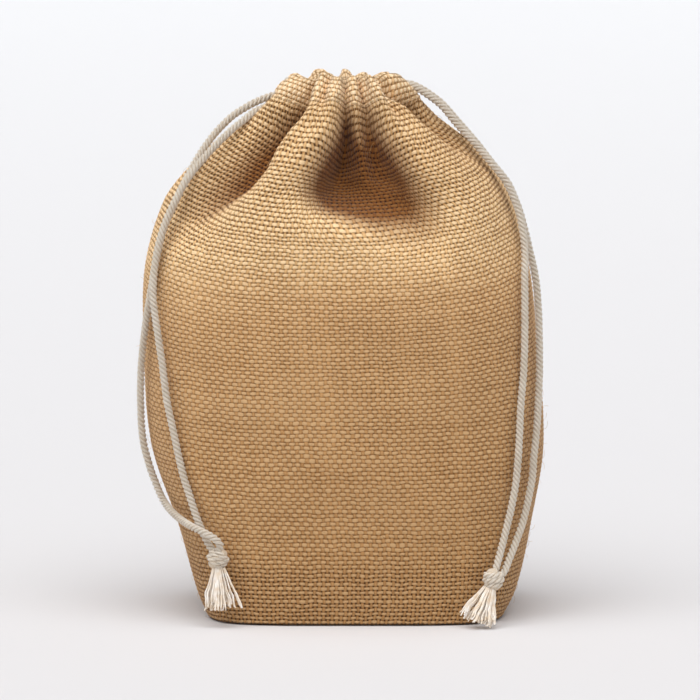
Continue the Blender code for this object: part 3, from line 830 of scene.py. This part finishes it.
def make_hem(side):
    """The hem: cloth folded over to the inside, puffed out by the cords it holds."""
    name = "front_hem" if side < 0 else "back_hem"
    pitch = sizes().weft_pitch / 2
    all_angles = even_angles(side, [STITCH_HEIGHT], 2 * sizes().warp_yarns + 1)[0]
    keep = np.abs(all_angles) < HEM_END
    angles = all_angles[keep]
    top = hem_top(side, angles)
    outer_rows = int(round(HEM_OUTSIDE / pitch))
    foot = STITCH_HEIGHT - 0.0006
    outer = np.array([wall(side, foot + (top - STITCH_HEIGHT + 0.0006) * (r / outer_rows), angles)
                      for r in range(outer_rows + 1)])
    normals = grid_normals(outer, side)
    share = np.linspace(0, 1, len(outer))[:, None, None]
    outer = outer + normals * (0.00012 + 0.0006 * np.sin(math.pi * share) ** 2)
    inner_rows = int(round(HEM_INSIDE / pitch))
    turned = []
    for r in range(1, inner_rows + 1):
        share = r / inner_rows
        gap = 0.0016 + 0.0033 * math.sin(math.pi * min(1.0, share * 0.98 + 0.02)) ** 0.5
        turned.append(behind_folds(side, top - (top - STITCH_HEIGHT - 0.0004) * share, angles, gap))
    crest = []
    for share in np.linspace(0, 1, CREST_ROWS + 2)[1:-1]:
        row = outer[-1] * (1 - share) + turned[0] * share
        row[:, 2] += 0.0014 * math.sin(math.pi * share) ** 0.7
        crest.append(row)
    grid = np.concatenate((outer, np.array(crest), np.array(turned)))
    grid[1:-1] = (grid[:-2] + 2 * grid[1:-1] + grid[2:]) / 4
    rows, columns = grid.shape[:2]
    normals = grid_normals(grid, side)
    wobble = smooth_random((rows, columns), 6, 41 if side < 0 else 42)
    swell = 0.0007 * wobble * np.sin(math.pi * np.arange(rows)[:, None] / (rows - 1))
    grid = grid + normals * (crossings(rows, columns) * sizes().relief + swell)[..., None]
    sheet = grid - normals * HEM_CLOTH
    points = np.concatenate((grid.reshape(-1, 3), sheet.reshape(-1, 3)))
    to_own_side(points, side)
    start = rows * columns
    outward = side < 0
    faces = [tuple(f) for f in shell_faces(rows, columns, 0, not outward)]
    faces += [tuple(f) for f in shell_faces(rows, columns, start, outward)]
    o = np.arange(start).reshape(rows, columns)
    for line, turn in ((o[0], True), (o[-1], False), (o[:, 0], False), (o[:, -1], True)):
        for a, b in zip(line[:-1], line[1:]):
            face = (a, a + start, b + start, b)
            faces.append(tuple(face[::-1]) if turn != outward else tuple(face))
    uv = yarn_places(rows, columns, int(np.argmax(keep))).reshape(-1, 2)
    outer_levels = STITCH_HEIGHT + (top[None, :] - STITCH_HEIGHT) * np.clip(np.arange(rows)[:,
        None] / outer_rows, 0, 1)
    # Painted shade where the folds are deep and on the cloth turned in under the hem; the hem gets
    # full painted light.
    crease_shade = 0.7 * np.clip((fold_depth(side, outer_levels, angles[None, :]) - 0.004) / 0.013, 0, 1)
    crease_shade[outer_rows + CREST_ROWS:] = 0.9
    layers = {"open": np.full(start, 0.65), "crease_shade": crease_shade.ravel(), "painted_light": np.ones(start)}
    layers = {key: np.tile(values, 2) for key, values in layers.items()}
    return new_piece(name, points, faces, "jute hem", layers, "yarns", np.tile(uv, (2, 1)))


def crosses_mouth(piece):
    """Move the piece's placement into its mesh."""
    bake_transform(piece)


def stands_for(node):
    """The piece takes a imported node's place."""
    if node:
        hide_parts(node)


# ---------------------------------------------------------------- geometry nodes
def node_tree(name, inputs):
    """A geometry tree with named inputs, its helper, its inputs and its output node."""
    tree = bpy.data.node_groups.new(name, "GeometryNodeTree")
    tree.interface.new_socket(name="Geometry", in_out="INPUT", socket_type="NodeSocketGeometry")
    for label, kind, value in inputs:
        socket = tree.interface.new_socket(name=label, in_out="INPUT", socket_type=kind)
        if value is not None:
            socket.default_value = value
    tree.interface.new_socket(name="Geometry", in_out="OUTPUT", socket_type="NodeSocketGeometry")
    net = Net(tree)
    return tree, net, net.node("NodeGroupInput").outputs, net.node("NodeGroupOutput")


def grow(piece, tree, values):
    """Run a geometry tree on a piece and keep the result as its plain mesh."""
    modifier = piece.modifiers.new(tree.name, "NODES")
    modifier.node_group = tree
    for item in tree.interface.items_tree:
        if item.in_out == "INPUT" and item.name in values:
            modifier[item.identifier] = values[item.name]
    graph = bpy.context.evaluated_depsgraph_get()
    graph.update()
    grown = bpy.data.meshes.new_from_object(piece.evaluated_get(graph), depsgraph=graph)
    piece.modifiers.remove(modifier)
    piece.data = grown
    grown.shade_smooth()
    return piece


def end_tree(net, source, result, geometry):
    """Make instances real, give them the finish and pass them out."""
    real = net.node("GeometryNodeRealizeInstances", {0: geometry}).outputs[0]
    final = net.node("GeometryNodeSetMaterial", {"Geometry": real, "Material": source["Finish"]})
    net.put(result.inputs[0], final.outputs[0])


def tube(net, line, radius, sides):
    """A capped tube round a line."""
    profile = net.node("GeometryNodeCurvePrimitiveCircle", {"Resolution": sides, "Radius": radius})
    sockets = {"Curve": line, "Profile Curve": profile.outputs[0], "Fill Caps": True}
    return net.node("GeometryNodeCurveToMesh", sockets).outputs[0]


def stitch_tree():
    """Short rounded stitches laid end to end along a line."""
    tree, net, source, result = node_tree("stitches", (
        ("Stitch Pitch", "NodeSocketFloat", 0.0036), ("Stitch Length", "NodeSocketFloat", 0.0026),
        ("Thread Radius", "NodeSocketFloat", 0.00035), ("Finish", "NodeSocketMaterial", None)))
    line = net.node("GeometryNodeMeshToCurve", {0: source["Geometry"]}).outputs[0]
    spread = net.node("GeometryNodeCurveToPoints",
                      {"Curve": line, "Length": source["Stitch Pitch"]},
                      mode="LENGTH").outputs
    bead = net.node("GeometryNodeMeshUVSphere", {"Segments": 8, "Rings": 6, "Radius": 1.0})
    half = net.times(source["Stitch Length"], 0.5)
    laid = net.node("GeometryNodeInstanceOnPoints", {
        "Points": spread["Points"], "Instance": bead.outputs["Mesh"],
        "Rotation": spread["Rotation"],
        "Scale": net.join(source["Thread Radius"], source["Thread Radius"], half)})
    end_tree(net, source, result, laid.outputs[0])
    return tree


def tassel_tree():
    """Threads that leave a small bundle and fan out into a flat fringe."""
    tree, net, source, result = node_tree("tassel threads", (
        ("Threads", "NodeSocketInt", 80), ("Length", "NodeSocketFloat", 0.016),
        ("Top Radius", "NodeSocketFloat", 0.0018), ("Spread", "NodeSocketFloat", 0.38),
        ("Flatness", "NodeSocketFloat", 0.45), ("Thread Radius", "NodeSocketFloat", 0.0002),
        ("Seed", "NodeSocketInt", 1), ("Finish", "NodeSocketMaterial", None)))

    def chance(low, high, offset):
        return net.random(low, high, net.add(source["Seed"], float(offset)))

    angle = chance(0.0, 2 * math.pi, 1)
    reach = net.sum("SQRT", chance(0.0, 1.0, 2))
    disc_x = net.times(net.sum("COSINE", angle), reach)
    disc_y = net.times(net.times(net.sum("SINE", angle), reach), source["Flatness"])
    places = net.join(net.times(disc_x, source["Top Radius"]),
                      net.times(disc_y, source["Top Radius"]))
    roots = net.node("GeometryNodePoints", {"Count": source["Threads"], "Position": places})
    hair = net.node("GeometryNodeCurvePrimitiveLine", {"End": (0.0, 0.0, -1.0)})
    finer = net.node("GeometryNodeResampleCurve", {"Curve": hair.outputs[0], "Count": 11})
    lengths = net.times(source["Length"], chance(0.84, 1.04, 3))
    tilt_x = net.times(disc_y, source["Spread"])
    tilt_y = net.times(net.times(disc_x, source["Spread"]), -1.0)
    lean = net.join(tilt_x, net.add(tilt_y, chance(-0.06, 0.06, 4)))
    turned = net.node("FunctionNodeEulerToRotation", {0: lean})
    laid = net.node("GeometryNodeInstanceOnPoints", {
        "Points": roots.outputs[0], "Instance": finer.outputs[0], "Rotation": turned.outputs[0],
        "Scale": net.join(lengths, lengths, lengths)})
    real = net.node("GeometryNodeRealizeInstances", {0: laid.outputs[0]})
    spot = net.node("GeometryNodeInputPosition").outputs[0]
    wavy = net.node("ShaderNodeTexNoise", {"Vector": spot, "Scale": 240.0, "Detail": 1.0},
                    noise_dimensions="3D").outputs["Color"]
    centred = net.node("ShaderNodeVectorMath", {0: wavy, 1: (0.5, 0.5, 0.5)}, operation="SUBTRACT")
    along = net.node("GeometryNodeSplineParameter").outputs["Factor"]
    drift = net.node("ShaderNodeVectorMath",
                     {0: centred.outputs[0], "Scale": net.times(along, 0.0034)},
                     operation="SCALE")
    moved = net.node("GeometryNodeSetPosition",
                     {"Geometry": real.outputs[0], "Offset": drift.outputs[0]})
    end_tree(net, source, result, tube(net, moved.outputs[0], source["Thread Radius"], 5))
    return tree


def fibre_tree():
    """Loose fibres that stand off the cloth in small curls."""
    tree, net, source, result = node_tree("loose fibres", (
        ("Fibres per Area", "NodeSocketFloat", 20000.0), ("Fibre Length", "NodeSocketFloat", 0.003),
        ("Fibre Radius", "NodeSocketFloat", 0.00004), ("Seed", "NodeSocketInt", 1),
        ("Finish", "NodeSocketMaterial", None)))
    spots = net.node("GeometryNodeDistributePointsOnFaces", {
        "Mesh": source["Geometry"], "Density": source["Fibres per Area"],
        "Seed": source["Seed"]}).outputs
    hair = net.node("GeometryNodeCurvePrimitiveBezierSegment", {
        "Resolution": 5, "Start": (0, 0, -0.05), "Start Handle": (0.1, 0.0, 0.28),
        "End Handle": (0.45, 0.1, 0.34), "End": (0.95, 0.0, 0.1)})
    solid = tube(net, hair.outputs[0], net.over(source["Fibre Radius"], source["Fibre Length"]), 3)
    spin = net.random((-0.5, -0.5, 0.0), (0.5, 0.5, 2 * math.pi), source["Seed"])
    size = net.random(0.35, 1.3, net.add(source["Seed"], 5.0))
    turned = net.node("FunctionNodeRotateRotation", {
        0: spots["Rotation"], 1: net.node("FunctionNodeEulerToRotation", {0: spin}).outputs[0]},
        rotation_space="LOCAL")
    length = net.times(size, source["Fibre Length"])
    laid = net.node("GeometryNodeInstanceOnPoints", {
        "Points": spots["Points"], "Instance": solid, "Rotation": turned.outputs[0],
        "Scale": net.join(length, length, length)})
    end_tree(net, source, result, laid.outputs[0])
    return tree


# ---------------------------------------------------------------- operators
class POUCH_OT_finishes(bpy.types.Operator):
    """Make the jute, cotton and thread finishes"""
    bl_idname = "pouch.finishes"
    bl_label = "Finishes"

    def execute(self, context):
        tint = colours()
        weave_finish("jute weave")
        # The hem's finish is a lighter, paler copy of the weave: painted light on the top of the
        # pouch.
        weave_finish("jute hem", gain=(1.08, 1.14, 1.28), least_open=0.3)
        twisted_finish("cotton cord", tint.cotton, tint.cotton_shade)
        # The knot's cotton is a lighter copy of the cord's: painted light.
        twisted_finish("cotton knot", rgba(tint.cotton, 1.08)[:3], tint.cotton_shade)
        thread_finish("cotton fringe", rgba(tint.cotton, (1.10, 1.14, 1.22))[:3],
                      rgba(tint.cotton_shade, 1.3)[:3], 420.0)
        thread_finish("sewing thread", tint.thread, rgba(tint.thread, 0.7)[:3], 900.0)
        thread_finish("jute fibre", rgba(tint.yarn, 1.12)[:3], tint.yarn_shade, 300.0)
        seam_finish("jute seam")
        return {"FINISHED"}


class POUCH_OT_stage(bpy.types.Operator):
    """Make the floor, backdrop, lights and camera"""
    bl_idname = "pouch.stage"
    bl_label = "Stage"

    def execute(self, context):
        net, shader = new_finish("pale paper")
        x, y = net.split(net.place())[:2]
        # Painted light and shade on the paper: darker near the pouch and lighter far off.
        far = net.sum("POWER", net.add(net.sum("POWER", x, 2.0), net.sum("POWER", y, 2.0)), 0.5)
        paper = net.blend(net.ramp(far, 0.25, 3.2), rgba(colours().floor),
                          rgba(colours().floor_far))
        net.fill(shader, {"Base Color": paper, "Roughness": 0.9, "Specular IOR Level": 0.1})
        around = 72
        profile = [(0.2, 0.0), (1.0, 0.0), (3.0, 0.0), (6.0, 0.0)]
        profile += [(6.0 + 3.0 * math.sin(t), 3.0 - 3.0 * math.cos(t))
                    for t in np.linspace(0.15, math.pi / 2, 10)]
        points, faces = [(0.0, 0.0, -0.0001)], []
        for reach, height in profile:
            points += [(reach * math.cos(turn), reach * math.sin(turn), height - 0.0001)
                       for turn in (2 * math.pi * k / around for k in range(around))]
        for k in range(around):
            nxt = (k + 1) % around
            faces.append((0, 1 + k, 1 + nxt))
            faces += [(low + k, low + around + k, low + around + nxt, low + nxt)
                      for low in (1 + r * around for r in range(len(profile) - 1))]
        new_piece("backdrop", points, faces, "pale paper")

        world = bpy.data.worlds.new("studio")
        context.scene.world = world
        world.use_nodes = True
        sky = world.node_tree.nodes["Background"]
        sky.inputs["Color"].default_value = (0.97, 0.985, 1.0, 1.0)
        sky.inputs["Strength"].default_value = 0.20
        for name, rise, turn, spread, power in LAMPS:
            lamp = bpy.data.lights.new(name, "SUN")
            lamp.angle = math.radians(spread)
            lamp.energy = power
            light = bpy.data.objects.new(name, lamp)
            context.scene.collection.objects.link(light)
            light.rotation_euler = (math.radians(90 - rise), 0.0, math.radians(turn))
        context.scene.view_settings.view_transform = "Standard"

        lens = bpy.data.cameras.new("camera")
        lens.lens = LENS
        lens.sensor_width = SENSOR
        lens.clip_start = 0.01
        lens.clip_end = 40.0
        camera = bpy.data.objects.new("camera", lens)
        context.scene.collection.objects.link(camera)
        away = Vector((0, -math.cos(VIEW_RISE), math.sin(VIEW_RISE)))
        camera.location = Vector(VIEW_TARGET) + VIEW_WIDTH * LENS / SENSOR * away
        camera.rotation_euler = (math.pi / 2 - VIEW_RISE, 0, 0)
        context.scene.camera = camera
        return {"FINISHED"}


def cord_piece(name, route, phase):
    """A length of drawcord along a route, and the path it follows."""
    path = smooth_route(route, CORD_STEP)
    points, faces, lay, furrow_shade = rope_mesh(path, sizes().cord, sizes().cord_turn, phase)
    return new_piece(name, points, faces, "cotton cord", {"furrow_shade": furrow_shade}, "lay", lay), path


class POUCH_OT_cord_tails(bpy.types.Operator):
    """Make the four lengths of cord that hang down the sides, with their knots and tassels"""
    bl_idname = "pouch.cord_tails"
    bl_label = "Cord tails"

    def execute(self, context):
        threads = tassel_tree()
        for label, routes, knot, tassel, draw, seed in (
                ("left", (LEFT_FRONT_ROUTE, LEFT_BACK_ROUTE), LEFT_KNOT, LEFT_TASSEL, LEFT_DRAW, 3),
                ("right", (RIGHT_FRONT_ROUTE, RIGHT_BACK_ROUTE), RIGHT_KNOT, RIGHT_TASSEL,
                 RIGHT_DRAW, 8)):
            heart = np.array(knot[0])
            knot_piece = self.knot(label, knot, seed)
            tassel_piece = self.tassel(label, tassel, threads, seed)
            for part, route, phase in (("front", routes[0], 0.4), ("back", routes[1], 1.9)):
                node = f"{label}_{part}_strand"
                end = np.array(route[-1])
                tucked = heart + (end - heart) / np.linalg.norm(end - heart) * KNOT_TUCK
                name = node.replace("strand", "cord_tail")
                piece, path = cord_piece(name, route + (tuple(tucked),), phase)
                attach(piece, label + "_tail")
                stands_for(node)
                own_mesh(piece)
        return {"FINISHED"}

    def knot(self, label, knot, seed):
        """An overhand knot drawn tight: the cord wraps twice and more round itself."""
        centre, tilt = np.array(knot[0]), math.radians(knot[1])
        steps = np.linspace(0, 1, 26)
        turn = 2 * math.pi * KNOT_TURNS * steps + seed
        barrel = 0.0027 - 0.0010 * (2 * steps - 1) ** 4
        path = np.column_stack((barrel * np.cos(turn) * 1.12, barrel * np.sin(turn),
                                KNOT_HALF_HEIGHT * (1 - 2 * steps)))
        tuck_in = path[0] * (0.25, 0.25, 1.0) + (0, 0, 0.0004)
        tuck_out = path[-1] * (0.25, 0.25, 1.0) - (0, 0, 0.0006)
        path = np.vstack((tuck_in, path, tuck_out))
        path = smooth_route(path, 0.0005)
        points, faces, lay, furrow_shade = rope_mesh(path, 0.0026, 0.0060)
        core_points, core_faces = self.core()
        faces += [tuple(len(points) + i for i in f) for f in core_faces]
        points = np.vstack((np.array(points), core_points))
        lay += [(0.0, 0.0)] * len(core_points)
        # Painted shade on the core inside the wraps.
        furrow_shade += [0.8] * len(core_points)
        cosine, sine = math.cos(tilt), math.sin(tilt)
        lean = np.array(((cosine, 0, sine), (0, 1, 0), (-sine, 0, cosine)))
        points = points @ lean.T + centre
        piece = new_piece(label + "_cord_knot", points, faces, "cotton knot", {"furrow_shade": furrow_shade},
                          "lay", lay)
        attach(piece, label + "_tail_end")
        stands_for(label + "_knot")
        return piece

    def core(self):
        """The cords gathered inside the wraps."""
        points, faces, around = [], [], 14
        for height, reach in KNOT_CORE:
            for a in range(around):
                angle = 2 * math.pi * a / around
                points.append((reach * math.cos(angle), reach * math.sin(angle), height))
        for k in range(len(KNOT_CORE) - 1):
            for a in range(around):
                b = (a + 1) % around
                faces.append((k * around + a, k * around + b, (k + 1) * around + b,
                              (k + 1) * around + a))
        faces.append(tuple(range(around))[::-1])
        faces.append(tuple(range(len(points) - around, len(points))))
        return np.array(points), faces

    def tassel(self, label, ends, threads, seed):
        """The unravelled ends below the knot."""
        top, bottom = Vector(ends[0]), Vector(ends[1])
        piece = new_piece(label + "_cord_tassel", [(0, 0, 0), (0.001, 0, 0), (0, 0.001, 0)],
                          [(0, 1, 2)], "cotton fringe")
        grow(piece, threads,
             {"Threads": sizes().tassel_threads, "Length": ends[2], "Top Radius": 0.0024,
                              "Spread": 0.36, "Flatness": TASSEL_FLATNESS,
                              "Thread Radius": sizes().tassel_thread,
                              "Seed": seed, "Finish": bpy.data.materials["cotton fringe"]})
        turn = Vector((0, 0, 1)).rotation_difference((top - bottom).normalized())
        turn = turn.to_matrix().to_4x4()
        turn.translation = top
        piece.data.transform(turn)
        above_floor(piece, 0.0004)
        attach(piece, label + "_tail_end")
        stands_for(label + "_tassel")
        return piece


class POUCH_OT_cloth(bpy.types.Operator):
    """Make the two jute panels and their hems"""
    bl_idname = "pouch.cloth"
    bl_label = "Cloth and hems"

    def execute(self, context):
        for side, label in ((-1, "front"), (1, "back")):
            cloth = make_cloth(side)
            hem = make_hem(side)
            fibres = self.fibres(label, cloth, side)
            for piece, node, slot in ((cloth, label + "_panel", "jute"),
                                      (hem, label + "_casing", "jute_hem"), (fibres, None, "jute")):
                crosses_mouth(piece)
                stands_for(node)
        return {"FINISHED"}

    def fibres(self, label, cloth, side):
        """Loose fibres over a panel."""
        piece = bpy.data.objects.new(label + "_loose_fibres", cloth.data.copy())
        bpy.context.scene.collection.objects.link(piece)
        grow(piece, fibre_tree(),
             {"Fibres per Area": sizes().fibres / 0.1, "Fibre Length": 0.0036,
              "Fibre Radius": 0.00005,
                                   "Seed": 5 if side < 0 else 6,
                                   "Finish": bpy.data.materials["jute fibre"]})
        above_floor(piece, 0.0002)
        return piece


class POUCH_OT_cord_runs(bpy.types.Operator):
    """Make the cords inside the hems"""
    bl_idname = "pouch.cord_runs"
    bl_label = "Cords in the hems"

    def execute(self, context):
        for side, label in ((-1, "front"), (1, "back")):
            for cord, level, inset in RUNS:
                exit_side = -1 if cord == "left" else 1
                angles = np.linspace(*sorted((exit_side * RUN_EXIT, -exit_side * RUN_TURN)), 120)
                route = behind_folds(side, level, angles, inset)
                node = f"{cord}_cord_{label}_run"
                piece, _ = cord_piece(node.replace("run", "in_hem"), route, 0.8)
                crosses_mouth(piece)
                stands_for(node)
        return {"FINISHED"}


class POUCH_OT_stitching(bpy.types.Operator):
    """Make the row of stitches under each hem"""
    bl_idname = "pouch.stitching"
    bl_label = "Stitching"

    def execute(self, context):
        tree = stitch_tree()
        for side, label in ((-1, "front"), (1, "back")):
            angles = even_angles(side, [STITCH_HEIGHT], 160)[0][4:-4]
            line = wall(side, STITCH_HEIGHT + 0.0002, angles)
            pair = np.stack((line, line + (0, 0, 0.001)))
            line = line + grid_normals(pair, side)[0] * 0.00035
            data = bpy.data.meshes.new(label + "_hem_stitches")
            data.from_pydata([tuple(p) for p in line], [(k, k + 1) for k in range(len(line) - 1)],
                             [])
            piece = bpy.data.objects.new(label + "_hem_stitches", data)
            context.scene.collection.objects.link(piece)
            grow(piece, tree,
                 {"Stitch Pitch": sizes().stitch_gap, "Stitch Length": sizes().stitch,
                  "Thread Radius": STITCH_RADIUS,
                               "Finish": bpy.data.materials["sewing thread"]})
            crosses_mouth(piece)
            stands_for(label + "_casing_stitching")
        return {"FINISHED"}


class POUCH_OT_seams(bpy.types.Operator):
    """Give the turned-in seam edges their raw jute finish"""
    bl_idname = "pouch.seams"
    bl_label = "Seams"

    def execute(self, context):
        for node in ("left_side_seam", "right_side_seam", "base_seam", "left_corner_seam",
                     "right_corner_seam"):
            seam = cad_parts[node]
            for slot in seam.material_slots:
                slot.material = bpy.data.materials["jute seam"]
        return {"FINISHED"}


class POUCH_PT_panel(bpy.types.Panel):
    """Lists the pouch's pieces and settings"""
    bl_idname = "POUCH_PT_panel"
    bl_label = "Jute gift pouch"
    bl_space_type = "VIEW_3D"
    bl_region_type = "UI"
    bl_category = "Pouch"

    def draw(self, context):
        for step in STEPS:
            self.layout.operator(step.bl_idname)
        for group in (context.scene.pouch_sizes, context.scene.pouch_colours):
            for name in group.bl_rna.properties.keys():
                if name not in ("rna_type", "name"):
                    self.layout.prop(group, name)


STEPS = (POUCH_OT_finishes, POUCH_OT_stage, POUCH_OT_cord_tails, POUCH_OT_cloth, POUCH_OT_cord_runs,
         POUCH_OT_stitching, POUCH_OT_seams)
CLASSES = (PouchSizes, PouchColours) + STEPS + (POUCH_PT_panel,)


def register():
    """Add the classes and settings."""
    for item in CLASSES:
        bpy.utils.register_class(item)
    bpy.types.Scene.pouch_sizes = bpy.props.PointerProperty(type=PouchSizes)
    bpy.types.Scene.pouch_colours = bpy.props.PointerProperty(type=PouchColours)


def unregister():
    """Remove the classes and settings."""
    del bpy.types.Scene.pouch_sizes
    del bpy.types.Scene.pouch_colours
    for item in reversed(CLASSES):
        bpy.utils.unregister_class(item)


def main():
    """Build every piece in order."""
    register()
    for step in STEPS:
        group, name = step.bl_idname.split(".")
        getattr(getattr(bpy.ops, group), name)()


if __name__ == "__main__":
    main()
